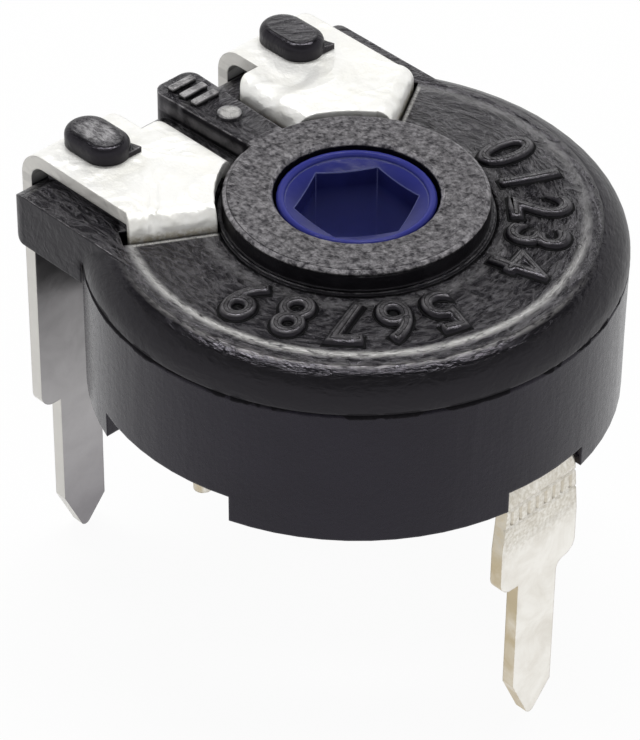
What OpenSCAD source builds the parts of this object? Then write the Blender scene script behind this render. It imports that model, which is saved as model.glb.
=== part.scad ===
// Single-turn trimmer potentiometer, board-parallel, with a hexagonal through socket.
// The origin is where the rotor axis meets the board; the pins' shoulders stand on z = 0.
// +X points to the wiper pin, the two end pins are at the flat back.

/* [Pins] */
// Distance between the two end pins
pin_pitch = 5; // [4.6:0.1:5.4]
// Distance from the row of end pins to the wiper pin
pin_rows = 10; // [9.8:0.05:10.6]
// Distance from the rotor axis to the middle of the wiper pin
wiper_pin_x = 4.78; // [4.6:0.02:4.9]
// Width of a pin below its shoulders
pin_w = 1.04; // [0.8:0.02:1.3]
// Width of a terminal above its shoulders
leg_w = 2; // [1.6:0.05:2.2]
// Width of the wiper terminal's arm, to which its leg tapers
arm_leg_w = 1.8; // [1.4:0.05:1.9]
// Length of a pin below the board's upper face
pin_l = 3.52; // [2.5:0.02:5]
// Height of the slanted tip on its short side
tip_short = 0.55; // [0.3:0.05:0.8]
// Height of the slanted tip on its long side
tip_long = 0.95; // [0.6:0.05:1.2]
// Radius of the rounded end of a tip
tip_r = 0.12; // [0.05:0.01:0.2]
// Radius of the shoulders' outer corners
shoulder_r = 0.3; // [0.1:0.05:0.4]
// Thickness of the terminals' sheet
sheet_t = 0.27; // [0.2:0.01:0.32]

/* [Housing] */
// Diameter of the round housing
body_d = 10.16; // [10:0.02:10.6]
// How much smaller the skirt's diameter is at its rim
skirt_draft = 0.02; // [0:0.02:0.2]
// Height of the skirt's rim above the board
stand_off = 2.1; // [1.6:0.05:3]
// Height of the cup from its rim to the parting line
cup_h = 2.88; // [2.8:0.02:3.6]
// Thickness of the cup's side wall
cup_wall = 0.58; // [0.4:0.02:0.7]
// Height of the floor's underside above the rim
floor_recess = 0.45; // [0.42:0.01:0.55]
// Thickness of the cup's floor
floor_t = 0.4; // [0.3:0.02:0.45]
// Height of the cover's flat top above the parting line
cover_rise = 0.74; // [0.7:0.02:0.9]
// Thickness of the cover's plate
cover_t = 0.9; // [0.82:0.01:1]
// Radius of the cover's rounded shoulder
cover_round = 0.66; // [0.3:0.02:0.7]
// Height of the small chamfers that form the parting line
parting_chamfer = 0.05; // [0:0.01:0.1]
// Half the width of the skirt's side recesses
recess_half_w = 1.65; // [1.2:0.05:2]
// Height of the skirt's side recesses
recess_h = 0.56; // [0.55:0.01:0.8]
// Play at each side of the wiper terminal in its notch
notch_play = 0.06; // [0.04:0.01:0.4]

/* [Back] */
// Half the width across the wings at the back
wing_y = 4.15; // [4:0.05:4.2]
// How far the wings reach below the parting line
wing_drop = 0.38; // [0.2:0.02:0.6]
// Distance from the wings' back face to their front, where the round shoulder begins
wing_l = 3.36; // [3:0.02:3.4]
// Radius of the wings' upright corners at the back
wing_corner_r = 0.4; // [0.2:0.05:0.45]
// Radius of the wings' upper edge at the back
wing_top_r = 0.5; // [0.2:0.01:0.6]
// Radius of the wings' lower edge at the back
wing_low_r = 0.42; // [0.1:0.01:0.5]
// Clearance between the terminals and the housing
fit_gap = 0.06; // [0.04:0.01:0.08]

/* [Collar and bar] */
// Diameter of the collar
collar_d = 4.96; // [4.6:0.02:5.2]
// Height of the collar above the flat top
collar_h = 0.47; // [0.35:0.01:0.6]
// Radius of the collar's rounded top edge
collar_round = 0.1; // [0.04:0.01:0.14]
// Width of the step round the collar's foot
foot_w = 0.08; // [0.05:0.01:0.14]
// Height of the step round the collar's foot
foot_h = 0.06; // [0.03:0.01:0.1]
// Size of the chamfer at the mouth of the collar's bore
mouth_chamfer = 0.07; // [0.02:0.01:0.12]
// Width of the bar between the terminals at the back
bar_w = 0.98; // [0.7:0.02:1.2]
// Width of the bar where it meets the collar
bar_front_w = 0.8; // [0.6:0.02:1]
// Radius of the bar's corners at the back
bar_r = 0.25; // [0.05:0.01:0.3]
// How far the bar reaches out behind the wings' back face
bar_out = 0.03; // [0:0.01:0.2]
// Diameter of the pip on the bar
pip_d = 0.46; // [0.2:0.02:0.5]
// Height of the pip on the bar
pip_h = 0.06; // [0.02:0.01:0.1]

/* [Heads] */
// Length of a heat-staked head
head_l = 1.4; // [1.2:0.02:1.5]
// Width of a heat-staked head
head_w = 0.92; // [0.6:0.02:1]
// Height of a heat-staked head above its plate
head_h = 0.35; // [0.3:0.01:0.6]
// Radius of a head's rounded top edge
head_r = 0.16; // [0.05:0.01:0.2]
// Distance from the back face to a head's middle
head_back = 0.69; // [0.6:0.01:0.8]
// Width of the neck that passes through the plate
neck_w = 0.4; // [0.3:0.02:0.5]
// Length of the neck that passes through the plate
neck_l = 0.68; // [0.6:0.02:0.74]
// How far the squeezed-out lip reaches from a head's front end
lip_l = 0.26; // [0.1:0.02:0.4]

/* [Terminal plates] */
// Height of the pads that carry the plates above the flat top
pad_h = 0.18; // [0.1:0.01:0.24]
// Distance from a plate's free edges to its pad
pad_inset = 0.13; // [0.05:0.01:0.2]
// Distance from the collar to a plate
collar_gap = 0.14; // [0.08:0.01:0.18]
// Distance from the middle line to a plate's inner edge
plate_in_y = 0.83; // [0.65:0.01:0.95]
// Distance from the wings' back face to the back edge of a plate's lobe
lobe_back = 0.8; // [0.6:0.02:0.9]
// Radius of the lobe's rounded corner
lobe_r = 0.35; // [0.1:0.05:0.4]
// Outer radius of a plate's edge where it rolls down beside the bar
roll_r = 0.4; // [0.32:0.01:0.41]
// Angle from the wiper pin to a plate's radial end
plate_angle = 120.5; // [118:0.5:124]
// Radius at the outer end of a plate's radial edge
plate_out_r = 4.25; // [4.15:0.01:4.28]
// Outer radius of the bend over the back edge
back_bend_r = 0.6; // [0.5:0.02:0.7]
// Outer radius of the bend into the cover's slot
tongue_bend_r = 0.31; // [0.3:0.01:0.4]
// How far the slot's mouth reaches past the tongue
mouth_l = 0.14; // [0.02:0.02:0.16]
// Depth of the slot's wider mouth
mouth_depth = 0.3; // [0.1:0.02:0.4]

/* [Rotor] */
// Diameter of the rotor's stem
stem_d = 2.98; // [2.9:0.01:3.1]
// Radial running clearance of the stem and the journal
run_gap = 0.06; // [0.03:0.01:0.08]
// Distance of the rotor's rim below the collar's top
rim_drop = 0.09; // [0.05:0.01:0.2]
// Distance across the corners of the hexagonal socket
hex_corners = 2.34; // [2:0.02:2.4]
// Turn of the socket's corners from the wiper pin
hex_turn = -4; // [-30:1:30]
// Radius of the rim's rounded edges
rim_r = 0.08; // [0.04:0.01:0.1]
// Depth that the shallow funnel round the socket would reach on the axis
funnel_depth = 0.4; // [0.2:0.05:0.8]
// Diameter of the lower journal
journal_d = 2.8; // [2.7:0.01:2.84]
// Diameter of the flange
flange_d = 5.8; // [5.6:0.05:6]
// Thickness of the flange
flange_t = 0.55; // [0.45:0.01:0.6]
// Axial play of the flange above and below
flange_play = 0.05; // [0.03:0.01:0.1]
// Mechanical travel from stop to stop
travel = 235; // [220:1:250]
// Width of the stop lug
lug_w = 1; // [0.8:0.05:1.2]
// How far the stop lug stands out of the flange
lug_out = 0.45; // [0.4:0.01:0.5]
// Width of a stop rib
stop_w = 0.6; // [0.4:0.05:0.8]
// Free angle left between lug and rib at the end of travel
stop_free = 0.4; // [0.2:0.1:1]

/* [Contacts] */
// Outer diameter of the collector ring
collector_d = 5.4; // [5.3:0.05:5.6]
// Height of the wiper terminal's run above the skirt's rim
run_h = 0.12; // [0.05:0.01:0.14]
// Angle of the locating tongue from the wiper pin
locator_angle = -79.5; // [-90:0.5:-72]
// Width of the locating tongue
locator_w = 0.36; // [0.3:0.02:0.5]
// Length of the fingers that press on the collector ring
finger_l = 0.72; // [0.6:0.02:0.8]
// Thickness of the wiper's spring sheet
spring_t = 0.14; // [0.1:0.01:0.16]
// Width of the wiper's forked arm
arm_w = 0.74; // [0.6:0.02:0.9]
// Width of the slit between the fork's fingers
slit_w = 0.12; // [0.08:0.01:0.2]
// Gap left between a spring finger and what it slides on
touch_gap = 0.02; // [0.01:0.01:0.03]
// Thickness of the laminate that carries the track
laminate_t = 0.4; // [0.35:0.01:0.45]
// Distance from the track's outer edge to the laminate's
track_edge = 0.4; // [0.35:0.01:0.45]
// Width of the track
track_w = 0.72; // [0.6:0.02:0.8]
// Thickness of the track and of the end pads
track_t = 0.04; // [0.03:0.01:0.05]
// Angle from the middle to each end of the carbon
carbon_half = 110; // [105:1:113]
// Angle from the middle to each end of the laminate
laminate_half = 129; // [128:0.5:132]
// Diameter of the pegs that locate the laminate
peg_d = 0.44; // [0.3:0.02:0.5]
// Diameter of the end pads' plugs
plug_d = 0.5; // [0.4:0.02:0.56]

/* [Hidden] */
$fn = 96;
eps = 0.01;
far = 4 * body_d;

// Heights above the board
rim_z = stand_off;
floor_under_z = rim_z + floor_recess;
floor_z = floor_under_z + floor_t;
parting_z = rim_z + cup_h;
top_z = parting_z + cover_rise;
cover_under_z = top_z - cover_t;
pad_z = top_z + pad_h;
plate_top_z = pad_z + sheet_t;
collar_z = top_z + collar_h;
laminate_z = cover_under_z - laminate_t;
track_z = laminate_z - track_t;
collector_top_z = floor_z + sheet_t;

// Radii of the housing
body_r = body_d / 2;
cup_in_r = body_r - cup_wall;
spigot_r = cup_in_r - fit_gap;
collar_r = collar_d / 2;
foot_r = collar_r + foot_w;
plate_in_r = collar_r + collar_gap;

// Places along X
end_pin_x = wiper_pin_x - pin_rows;
back_x = end_pin_x + sheet_t / 2 + fit_gap;
head_x = back_x + head_back;
bend_x = end_pin_x - sheet_t / 2 + back_bend_r;
lobe_x = back_x + lobe_back;

// The rotor, from its lower end up
stem_r = stem_d / 2;
bore_r = stem_r + run_gap;
journal_r = journal_d / 2;
boss_r = journal_r + run_gap + 0.4;
rotor_low_z = floor_under_z + 0.05;
floor_boss_z = collector_top_z + 0.3;
flange_z = floor_boss_z + flange_play;
flange_top_z = flange_z + flange_t;
cover_boss_z = flange_top_z + flange_play;
rotor_top_z = collar_z - rim_drop;
flange_r = flange_d / 2;
lug_r = flange_r + lug_out;
stop_in_r = flange_r + 0.1;
lug_z = floor_z + 0.18;
stop_top_z = flange_z - spring_t - fit_gap;
stop_angle = 180 - travel / 2 - asin(lug_w / 2 / stop_in_r) - asin(stop_w / 2 / stop_in_r) - stop_free;

// The wiper and the rings
collector_in_r = boss_r + fit_gap;
collector_r = collector_d / 2;
peg_ring_r = (collector_in_r + collector_r) / 2;
laminate_in_r = 2.35;
laminate_r = spigot_r - 0.02;
track_r = laminate_r - track_edge - track_w / 2;
laminate_peg_r = laminate_in_r + peg_d;
ring_w = collector_r - fit_gap - collector_in_r;
ring_peg_d = ring_w / 2;

// Starts of the floor's windows, and heights and depth of the coined lines
window_x = collector_r + 0.2;
locator_x = collector_r + 0.02;
coin_low_z = rim_z - 0.52;
coin_high_z = rim_z - 0.1;
coin_depth = 0.055;
coin_count = 8;
pin_fillet = 0.22;

// A circle's sector from one angle to another, as a wedge that covers the radius
module wedge(r, a0, a1) {
    n = 12;
    polygon(concat([[0, 0]], [for (i = [0:n]) let (a = a0 + (a1 - a0) * i / n) 1.2 * r * [cos(a), sin(a)]]));
}

module ring_2d(r_in, r_out) {
    difference() {
        circle(r_out);
        circle(r_in);
    }
}

// A slab from one height to another
module slab(z0, z1) {
    translate([0, 0, z0]) linear_extrude(z1 - z0) children();
}

// An outline in X and Z, drawn out along Y between two places
module along_y(y0, y1) {
    translate([0, y1, 0]) rotate([90, 0, 0]) linear_extrude(y1 - y0) children();
}

// A stadium of a given length along X and a given width
module stadium(l, w) {
    square([l - w, w], center = true);
    for (s = [-1, 1]) translate([s * (l - w) / 2, 0]) circle(w / 2);
}

// ---- Terminal plates -------------------------------------------------------

// Frame at a plate's radial end: X runs outwards, Y away from the plate
module at_plate_end(side) {
    mirror([0, side > 0 ? 0 : 1, 0]) rotate(plate_angle) mirror([0, 1, 0]) children();
}

// A plate's outline; an inset draws in its free edges, and the bends are left out
module plate_outline(side, inset) {
    end = [cos(plate_angle), sin(plate_angle)];
    back = [cos(plate_angle + 90), sin(plate_angle + 90)];
    outer = (plate_out_r - inset) * end + tongue_bend_r * back;
    in_y = plate_in_y + inset;
    lobe = lobe_x + inset;
    strip_in = pin_pitch / 2 - leg_w / 2 + inset;
    strip_out = pin_pitch / 2 + leg_w / 2 - inset;
    mirror([0, side > 0 ? 0 : 1]) difference() {
        union() {
            polygon([
                [bend_x, strip_out], [bend_x, strip_in], [lobe, strip_in], [lobe, in_y + lobe_r],
                [lobe + lobe_r, in_y + lobe_r], [lobe + lobe_r, in_y], [0, in_y],
                tongue_bend_r * back, outer, [outer.x - eps, strip_out]
            ]);
            translate([lobe + lobe_r, in_y + lobe_r]) circle(lobe_r);
        }
        circle(plate_in_r + inset);
    }
}

// The level part of a plate, without its rolled edge
module plate_flat_2d(side, inset) {
    level_y = plate_in_y + roll_r;
    difference() {
        plate_outline(side, inset);
        translate([-far, side > 0 ? 0 : -level_y]) square([far, level_y]);
    }
}

// A quarter bend of the sheet, from level to straight down, its centre at the origin
module bend_2d(r, t) {
    intersection() {
        ring_2d(r - t, r);
        square(r + eps);
    }
    translate([-0.02, r - t]) square([0.02 + eps, t]);
    translate([r - t, -0.02]) square([t, 0.02 + eps]);
}

// A terminal's lower end, seen along X: leg, shoulders and pin, with its middle on Y = 0
module leg_2d(top) {
    difference() {
        translate([-leg_w / 2, 0]) square([leg_w, top]);
        for (s = [-1, 1]) translate([s * leg_w / 2, 0]) difference() {
            translate([-shoulder_r, -shoulder_r]) square(2 * shoulder_r);
            translate([-s * shoulder_r, shoulder_r]) circle(shoulder_r);
            translate([-shoulder_r, shoulder_r]) square(2 * shoulder_r);
            translate([s > 0 ? -2 * shoulder_r : shoulder_r, -shoulder_r]) square([shoulder_r, 3 * shoulder_r]);
        }
    }
    // The pin, with its slanted tip cut from one side more than from the other
    polygon([
        [-pin_w / 2, eps], [-pin_w / 2, -pin_l + tip_long], [-tip_r * 0.8, -pin_l + tip_r * 0.4],
        [tip_r * 0.8, -pin_l + tip_r * 0.4], [pin_w / 2, -pin_l + tip_short], [pin_w / 2, eps]
    ]);
    translate([0, -pin_l + tip_r]) circle(tip_r);
    // Fillet under the long-side shoulder
    translate([pin_w / 2, 0]) difference() {
        translate([-eps, -pin_fillet]) square([pin_fillet + eps, pin_fillet + eps]);
        translate([pin_fillet, -pin_fillet]) circle(pin_fillet);
    }
}

// The leg, standing upright at a given X with its middle at a given Y
module leg(x, y, top) {
    translate([x - sheet_t / 2, y, 0]) rotate([90, 0, 90]) linear_extrude(sheet_t) leg_2d(top);
}

module end_terminal(side) {
    y = side * pin_pitch / 2;
    bend_z = plate_top_z - back_bend_r;
    color([0.86, 0.85, 0.8]) {
        difference() {
            slab(pad_z, plate_top_z) plate_flat_2d(side, 0);
            translate([head_x, y, 0]) slab(pad_z - eps, plate_top_z + eps)
                stadium(neck_l + 2 * fit_gap, neck_w + 2 * fit_gap);
        }
        // Edge rolled down beside the bar
        intersection() {
            slab(top_z + 0.03, plate_top_z) plate_outline(side, 0);
            mirror([0, side > 0 ? 0 : 1, 0]) translate([-far, plate_in_y + roll_r, plate_top_z - roll_r])
                rotate([90, 0, 90]) linear_extrude(far) mirror([1, 0]) bend_2d(roll_r, sheet_t);
        }
        // Bend over the back edge
        translate([bend_x, 0, bend_z]) along_y(y - leg_w / 2, y + leg_w / 2)
            mirror([1, 0]) bend_2d(back_bend_r, sheet_t);
        // Leg and pin
        leg(end_pin_x, y, bend_z + eps);
        // Bend into the cover's slot, and the tongue that presses on the track's end pad
        at_plate_end(side) {
            translate([0, -tongue_bend_r, plate_top_z - tongue_bend_r]) rotate([90, 0, 90])
                translate([0, 0, plate_in_r]) linear_extrude(plate_out_r - plate_in_r) bend_2d(tongue_bend_r, sheet_t);
            translate([plate_in_r, -sheet_t, cover_under_z])
                cube([plate_out_r - plate_in_r, sheet_t, plate_top_z - tongue_bend_r - cover_under_z + eps]);
        }
    }
}

module end_terminal_left() {
    end_terminal(-1);
}

module end_terminal_right() {
    end_terminal(1);
}

// ---- Cover -----------------------------------------------------------------

// Profile of the round cover, from the axis outwards, in radius and height
module cover_profile() {
    difference() {
        union() {
            translate([0, parting_z]) square([body_r - cover_round, cover_rise]);
            translate([0, parting_z]) square([body_r, cover_rise - cover_round]);
            translate([body_r - cover_round, top_z - cover_round]) intersection() {
                circle(cover_round);
                square(cover_round + eps);
            }
            // Spigot that enters the cup, boss over the flange, collar with its foot step
            translate([0, cover_under_z]) square([spigot_r, parting_z - cover_under_z + eps]);
            translate([0, cover_boss_z]) square([boss_r, cover_under_z - cover_boss_z + eps]);
            translate([0, top_z - eps]) square([foot_r, foot_h + eps]);
            translate([0, top_z - eps]) square([collar_r, collar_h + eps]);
        }
        translate([-1, cover_boss_z - 1]) square([1 + bore_r, far]);
        // Mouth of the bore, edge of the collar, and the parting line's upper half
        polygon([[bore_r - eps, collar_z - mouth_chamfer - eps], [bore_r + mouth_chamfer + eps, collar_z + eps],
                 [bore_r - eps, collar_z + eps]]);
        translate([collar_r - collar_round, collar_z - collar_round]) difference() {
            square(collar_round + eps);
            circle(collar_round);
        }
        polygon([[body_r + eps, parting_z - eps], [body_r + eps, parting_z + parting_chamfer],
                 [body_r - parting_chamfer, parting_z - eps]]);
    }
}

// Side view of the block behind the round cover, in X and Z
module back_block_2d() {
    low = parting_z - wing_drop;
    difference() {
        translate([back_x, low]) square([wing_l, top_z - low]);
        translate([back_x, top_z - wing_top_r]) difference() {
            translate([-eps, 0]) square(wing_top_r + eps);
            translate([wing_top_r, 0]) circle(wing_top_r);
        }
        translate([back_x, low]) difference() {
            translate([-eps, -eps]) square(wing_low_r + eps);
            translate([wing_low_r, wing_low_r]) circle(wing_low_r);
        }
    }
}

// Seen from above, the wings with their rounded corners
module wings_2d() {
    in_y = wing_y - wing_corner_r;
    translate([back_x, -in_y]) square([wing_l, 2 * in_y]);
    translate([back_x + wing_corner_r, -wing_y]) square([wing_l - wing_corner_r, 2 * wing_y]);
    for (s = [-1, 1]) translate([back_x + wing_corner_r, s * in_y]) circle(wing_corner_r);
}

// A heat-staked head: a stadium with a rounded top edge, and its neck
module head(side) {
    end_r = head_w / 2;
    half = (head_l - head_w) / 2;
    translate([head_x, side * pin_pitch / 2, plate_top_z]) {
        for (s = [-1, 1]) translate([s * half, 0, 0]) rotate_extrude() intersection() {
            head_profile(end_r);
            square([end_r, head_h]);
        }
        rotate([90, 0, 90]) translate([0, 0, -half]) linear_extrude(2 * half) head_profile(end_r);
        // Lip of squeezed plastic at the front corner of the head
        slab(0, head_h * 0.35) polygon([
            [half, -end_r * 0.2], [half + end_r * 0.9, 0], [half + end_r * 0.55 + lip_l * 0.7, end_r * 0.9 + lip_l * 0.3],
            [half + end_r * 0.4, end_r * 0.9], [half, end_r * 0.9]
        ]);
    }
    translate([head_x, side * pin_pitch / 2, 0]) slab(pad_z - eps, plate_top_z + eps) stadium(neck_l, neck_w);
}

module head_profile(r) {
    translate([-r, 0]) square([2 * r, head_h - head_r]);
    translate([-r + head_r, 0]) square([2 * (r - head_r), head_h]);
    for (s = [-1, 1]) translate([s * (r - head_r), head_h - head_r]) circle(head_r);
}

// Seen from above, the bar between the terminals: its free end is wider and has rounded corners
module bar_2d() {
    end_x = back_x - bar_out;
    end_y = bar_w / 2;
    polygon([
        [end_x + bar_r, -end_y], [end_x + bar_r, end_y],
        [-collar_r + 0.3, bar_front_w / 2], [-collar_r + 0.3, -bar_front_w / 2]
    ]);
    translate([end_x, -end_y + bar_r]) square([bar_r + eps, bar_w - 2 * bar_r]);
    for (s = [-1, 1]) translate([end_x + bar_r, s * (end_y - bar_r)]) circle(bar_r);
}

module cover() {
    bar_top_z = collar_z - 0.02;
    color([0.16, 0.16, 0.17]) {
        difference() {
            union() {
                intersection() {
                    rotate_extrude() cover_profile();
                    translate([back_x + fit_gap, -far / 2, 0]) cube(far);
                }
                // Wings behind the round cover, outside the cup below the parting line
                difference() {
                    intersection() {
                        along_y(-wing_y, wing_y) back_block_2d();
                        slab(0, far) wings_2d();
                    }
                    cylinder(r = body_r + fit_gap / 2, h = parting_z + parting_chamfer + 0.02);
                }
                // Pads that carry the plates
                for (side = [-1, 1]) slab(top_z - wing_top_r, pad_z) plate_flat_2d(side, pad_inset);
            }
            // Slots for the tongues, with wider mouths
            for (side = [-1, 1]) at_plate_end(side) {
                translate([plate_in_r - fit_gap, -sheet_t - fit_gap, 0])
                    cube([plate_out_r - plate_in_r + 2 * fit_gap, sheet_t + 2 * fit_gap, far]);
                translate([plate_in_r - fit_gap, -tongue_bend_r - fit_gap, top_z - mouth_depth])
                    cube([plate_out_r - plate_in_r + fit_gap + mouth_l, tongue_bend_r + 2 * fit_gap, far]);
            }
        }
        // Bar between the terminals, with its pip
        slab(top_z - wing_top_r, bar_top_z) bar_2d();
        translate([-foot_r - 0.86, 0, bar_top_z - eps]) cylinder(d = pip_d, h = pip_h + eps);
        for (side = [-1, 1]) head(side);
        // Pegs that locate the laminate
        for (a = [-60, 60]) rotate(a) translate([laminate_peg_r, 0, laminate_z + 0.02])
            cylinder(d = peg_d, h = laminate_t);
    }
}

// ---- Base cup --------------------------------------------------------------

module cup_profile() {
    difference() {
        union() {
            // Wall with the skirt's draft, floor, boss round the journal
            polygon([[cup_in_r, rim_z], [body_r - skirt_draft / 2, rim_z], [body_r, parting_z - parting_chamfer],
                     [body_r - parting_chamfer, parting_z], [cup_in_r, parting_z]]);
            translate([0, floor_under_z]) square([cup_in_r + eps, floor_t]);
            translate([0, floor_under_z]) square([boss_r, floor_boss_z - floor_under_z]);
        }
        translate([-1, 0]) square([1 + journal_r + run_gap, far]);
    }
}

module base_cup() {
    notch_half = arm_leg_w / 2 + notch_play;
    arm_half = arm_leg_w / 2 + fit_gap;
    color([0.19, 0.18, 0.2]) {
        difference() {
            intersection() {
                rotate_extrude() cup_profile();
                translate([back_x, -far / 2, 0]) cube(far);
            }
            // Notch in the skirt and window in the floor for the wiper terminal
            translate([cup_in_r - cup_wall, -notch_half, 0]) cube([body_r, 2 * notch_half, rim_z + floor_recess]);
            translate([window_x, -arm_half, rim_z]) cube([cup_in_r - 0.3 - window_x, 2 * arm_half, 2 * cup_h / 3]);
            // Recesses in both sides of the skirt
            for (s = [-1, 1]) translate([-recess_half_w, s > 0 ? cup_in_r - 0.3 : -body_r - 1, 0])
                cube([2 * recess_half_w, body_r - cup_in_r + 1.3, rim_z + recess_h]);
            // Window for the locating tongue
            rotate(locator_angle) translate([locator_x, -locator_w / 2 - fit_gap, rim_z])
                cube([cup_in_r - 0.1 - locator_x, locator_w + 2 * fit_gap, cup_h / 3]);
        }
        // Stop ribs
        for (s = [-1, 1]) rotate(s * stop_angle) translate([stop_in_r, -stop_w / 2, floor_z - eps])
            cube([cup_in_r - stop_in_r + 0.1, stop_w, stop_top_z - floor_z + eps]);
    }
}

// ---- Wiper terminal --------------------------------------------------------

// Side view of an arm that leaves the ring, steps down through the floor and runs out at a lower level
module arm_2d(x1, slope, low_z, x_end) {
    x0 = peg_ring_r;
    x2 = x1 + slope;
    slant = sheet_t * 0.42;
    polygon([[x0, floor_z], [x1, floor_z], [x2, low_z], [x_end, low_z], [x_end, low_z + sheet_t],
             [x2 + slant, low_z + sheet_t], [x1 + slant, floor_z + sheet_t], [x0, floor_z + sheet_t]]);
}

module wiper_terminal() {
    bend_r = sheet_t + 0.15;
    run_z = rim_z + run_h;
    bend_z = run_z + sheet_t - bend_r;
    face_x = wiper_pin_x + sheet_t / 2;
    tongue_z = rim_z + recess_h - sheet_t - 0.02;
    color([0.86, 0.84, 0.76]) difference() {
        union() {
            // Collector ring, arm, bend and pin
            slab(floor_z, collector_top_z) ring_2d(collector_in_r, collector_r);
            along_y(-arm_leg_w / 2, arm_leg_w / 2) arm_2d(window_x + 0.1, 0.6, run_z, face_x - bend_r);
            translate([face_x - bend_r, 0, bend_z]) along_y(-arm_leg_w / 2, arm_leg_w / 2)
                bend_2d(bend_r, sheet_t);
            difference() {
                leg(wiper_pin_x, 0, bend_z + eps);
                for (s = [-1, 1]) translate([wiper_pin_x - sheet_t, 0, 0]) rotate([90, 0, 90])
                    linear_extrude(2 * sheet_t) polygon([
                        [s * leg_w / 2, bend_z / 2], [s * arm_leg_w / 2, bend_z], [s * arm_leg_w / 2, far],
                        [s * leg_w, far], [s * leg_w, bend_z / 2]
                    ]);
            }
            // Locating tongue with its rounded end
            rotate(locator_angle) {
                along_y(-locator_w / 2, locator_w / 2) arm_2d(locator_x + 0.05, 0.4, tongue_z, body_r - 0.3);
                translate([body_r - 0.3, 0, tongue_z]) cylinder(d = locator_w, h = sheet_t);
            }
        }
        cylinder(r = collector_in_r, h = far);
        // Coined lines and dents across the leg
        for (z = [coin_low_z, coin_high_z]) translate([face_x, 0, z]) rotate([0, 45, 0])
            cube([coin_depth, leg_w + 1, coin_depth], center = true);
        for (i = [1:coin_count]) translate([face_x, (i / (coin_count + 1) - 0.5) * leg_w, (coin_low_z + coin_high_z) / 2])
            rotate([0, 0, 45]) cube([coin_depth, coin_depth, coin_high_z - coin_low_z - 2 * coin_depth], center = true);
    }
}

// ---- Rotor -----------------------------------------------------------------

module rotor_profile() {
    polygon([
        [0, rotor_low_z], [journal_r - 0.08, rotor_low_z], [journal_r, rotor_low_z + 0.08], [journal_r, flange_z],
        [flange_r, flange_z], [flange_r, flange_top_z], [stem_r, flange_top_z], [stem_r, rotor_top_z - rim_r],
        [stem_r - rim_r, rotor_top_z], [stem_r - rim_r, rotor_top_z - rim_r], [0, rotor_top_z - rim_r - funnel_depth]
    ]);
    translate([stem_r - rim_r, rotor_top_z - rim_r]) circle(rim_r);
}

module rotor() {
    color([0.13, 0.14, 0.4]) difference() {
        union() {
            rotate_extrude() rotor_profile();
            // Stop lug, opposite the wiper's arm
            translate([-lug_r, -lug_w / 2, flange_z]) cube([lug_r - stem_r, lug_w, flange_t]);
            translate([-lug_r, -lug_w / 2, lug_z]) cube([lug_out - 0.03, lug_w, flange_t + flange_z - lug_z]);
            // Pegs that hold the wiper contact
            for (a = [90, 270]) rotate(a) translate([peg_ring_r, 0, flange_z - spring_t])
                cylinder(d = ring_peg_d - 0.05, h = spring_t + 0.1);
        }
        rotate(hex_turn) cylinder(d = hex_corners, h = far, $fn = 6);
        // Lead-in at the lower end
        translate([0, 0, rotor_low_z - eps]) rotate_extrude()
            polygon([[0, 0], [journal_r - 0.16, 0], [0, journal_r - 0.16]]);
    }
}

// ---- Wiper contact ---------------------------------------------------------

module wiper_contact() {
    z = flange_z - spring_t;
    rise_x = flange_r + 0.22;
    crown_z = track_z - touch_gap;
    finger_z = collector_top_z + touch_gap;
    color([0.8, 0.68, 0.4]) difference() {
        union() {
            slab(z, flange_z) ring_2d(collector_in_r, collector_r - fit_gap);
            // Forked arm that rises past the flange to the track
            along_y(-arm_w / 2, arm_w / 2) polygon([
                [peg_ring_r, z], [rise_x, z], [track_r + 0.02, crown_z - spring_t], [track_r + 0.3, crown_z - 0.3 - spring_t],
                [track_r + 0.36, crown_z - 0.22 - spring_t], [track_r + 0.06, crown_z], [track_r - 0.06, crown_z],
                [rise_x - 0.12, flange_z], [peg_ring_r, flange_z]
            ]);
            // Fingers that press down on the collector ring
            for (a = [60, 240]) rotate(a) translate([peg_ring_r, 0, 0]) along_x_finger(z, finger_z);
        }
        translate([rise_x - 0.3, -slit_w / 2, 0]) cube([2, slit_w, far]);
        for (a = [90, 270]) rotate(a) translate([peg_ring_r, 0, 0]) cylinder(d = ring_peg_d, h = far);
        cylinder(r = collector_in_r, h = far);
    }
}

// A finger lanced from the ring, running along Y down to the collector
module along_x_finger(z, low_z) {
    w = 0.4 * ring_w;
    translate([-w / 2, 0, 0]) rotate([90, 0, 90]) linear_extrude(w) polygon([
        [-0.4 * finger_l, z + eps], [0.62 * finger_l, low_z], [0.83 * finger_l, low_z], [finger_l, low_z + 0.06],
        [0.83 * finger_l, low_z + 0.1], [0.67 * finger_l, low_z + 0.1], [-0.14 * finger_l, z + spring_t / 2]
    ]);
}

// ---- Track -----------------------------------------------------------------

// The end pads' plugs lie under the terminals' tongues
module at_plug(side) {
    at_plate_end(side) translate([track_r, -sheet_t / 2, 0]) children();
}

module track_substrate() {
    color([0.55, 0.4, 0.24]) difference() {
        slab(laminate_z, cover_under_z) intersection() {
            ring_2d(laminate_in_r, laminate_r);
            wedge(laminate_r, -laminate_half, laminate_half);
        }
        for (a = [-60, 60]) rotate(a) translate([laminate_peg_r, 0, 0])
            cylinder(d = peg_d + fit_gap, h = far);
        for (side = [-1, 1]) at_plug(side) cylinder(d = plug_d, h = far);
    }
}

module track_band(a0, a1) {
    slab(track_z, laminate_z) intersection() {
        ring_2d(track_r - track_w / 2, track_r + track_w / 2);
        wedge(laminate_r, a0, a1);
    }
}

module carbon_track() {
    color([0.08, 0.08, 0.08]) track_band(-carbon_half, carbon_half);
}

module end_contact(side) {
    color([0.8, 0.8, 0.82]) {
        mirror([0, side > 0 ? 0 : 1, 0]) track_band(carbon_half, laminate_half - 1);
        at_plug(side) translate([0, 0, track_z + track_t / 2]) cylinder(d = plug_d, h = cover_under_z - track_z - track_t / 2);
    }
}

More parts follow.
